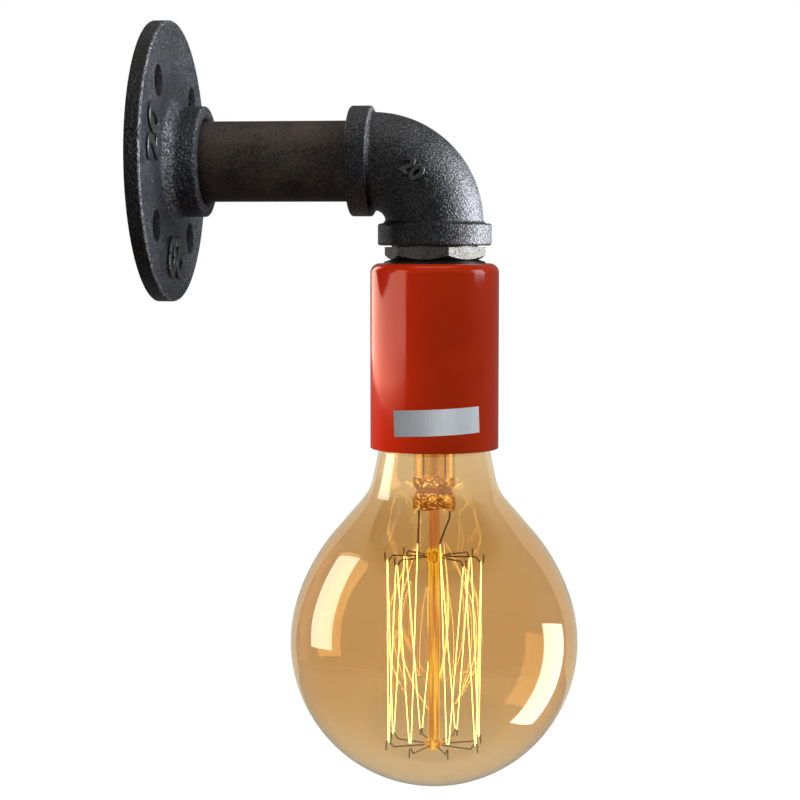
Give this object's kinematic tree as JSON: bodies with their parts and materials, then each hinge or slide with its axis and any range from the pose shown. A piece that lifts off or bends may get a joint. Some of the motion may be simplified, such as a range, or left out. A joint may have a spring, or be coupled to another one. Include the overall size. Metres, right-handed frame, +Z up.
{
  "type": "pipe wall light",
  "caption": "Wall light made of a round flange, a short pipe and an elbow, with a metal-cased screw lampholder and a large globe filament bulb.",
  "frame": {"origin": "centre of the wall flange's back face, on the wall", "axes": "+X out of the wall along the pipe's axis, +Z up, with the lamp hanging along -Z below the elbow"},
  "size_m": [0.1418, 0.0966, 0.2565],
  "materials": {
    "graphite_iron": "satin",
    "black_pipe": "matte",
    "zinc_bush": "satin",
    "black_washer": "satin",
    "zinc_steel": "satin",
    "brass": "satin",
    "orange_enamel": "gloss",
    "label_foil": "satin",
    "porcelain": "gloss",
    "sleeve_brown": "satin",
    "sleeve_blue": "satin",
    "sleeve_green": "satin",
    "tinned_copper": "polished",
    "amber_glass": "polished",
    "clear_glass": "polished",
    "nickel_brass": "polished",
    "black_insulator": "gloss",
    "solder": "satin",
    "cap_cement": "matte",
    "nickel_wire": "satin",
    "carbon_filament": "satin"
  },
  "bodies": {
    "wall_bracket": {"wall_flange": "graphite_iron", "pipe_nipple": "black_pipe"},
    "arm": {"bridge_screws": "zinc_steel", "centre_contact": "brass", "contact_rivets": "brass", "contact_terminal": "brass", "earth_lead": "sleeve_green", "earth_ring": "brass", "earth_terminal": "brass", "elbow": "graphite_iron", "foil_label": "label_foil", "holder_bridge": "zinc_steel", "lampholder_cup": "orange_enamel", "lead_ferrules": "tinned_copper", "live_lead": "sleeve_brown", "neutral_lead": "sleeve_blue", "porcelain_body": "porcelain", "reducer_bush": "zinc_bush", "screw_shell": "brass", "shell_terminal": "brass", "star_washer": "zinc_steel", "terminal_screws": "zinc_steel", "threaded_tube": "zinc_steel", "top_washer": "black_washer", "tube_locknut": "zinc_steel"},
    "bulb_carrier": {"cap_insulator": "black_insulator", "cap_contact": "solder"},
    "bulb": {"bulb_glass": "amber_glass", "bulb_cap": "nickel_brass", "cap_cement": "cap_cement", "bulb_stem": "clear_glass", "exhaust_tube": "clear_glass", "stem_pinch": "clear_glass", "centre_rod": "clear_glass", "upper_hooks": "nickel_wire", "lower_hooks": "nickel_wire", "filament": "carbon_filament", "lead_in_wires": "nickel_wire", "cap_leads": "nickel_wire"}
  },
  "joints": [
    {"name": "arm_swivel", "type": "hinge", "parent": "wall_bracket", "child": "arm", "pos_m": [0.0715, 0, 0], "axis": [1, 0, 0], "range_deg": [-90, 90]},
    {"name": "bulb_travel", "type": "slide", "parent": "arm", "child": "bulb_carrier", "axis": [0, 0, -1], "range_m": [0, 0.01815]},
    {"name": "bulb_turn", "type": "hinge", "parent": "bulb_carrier", "child": "bulb", "pos_m": [0.0935, 0, -0.075], "axis": [0, 0, -1], "range_deg": [0, 1800]}
  ],
  "couplings": [
    {"joint": "bulb_travel", "follows": "bulb_turn", "m_per_rad": 0.00057757}
  ]
}
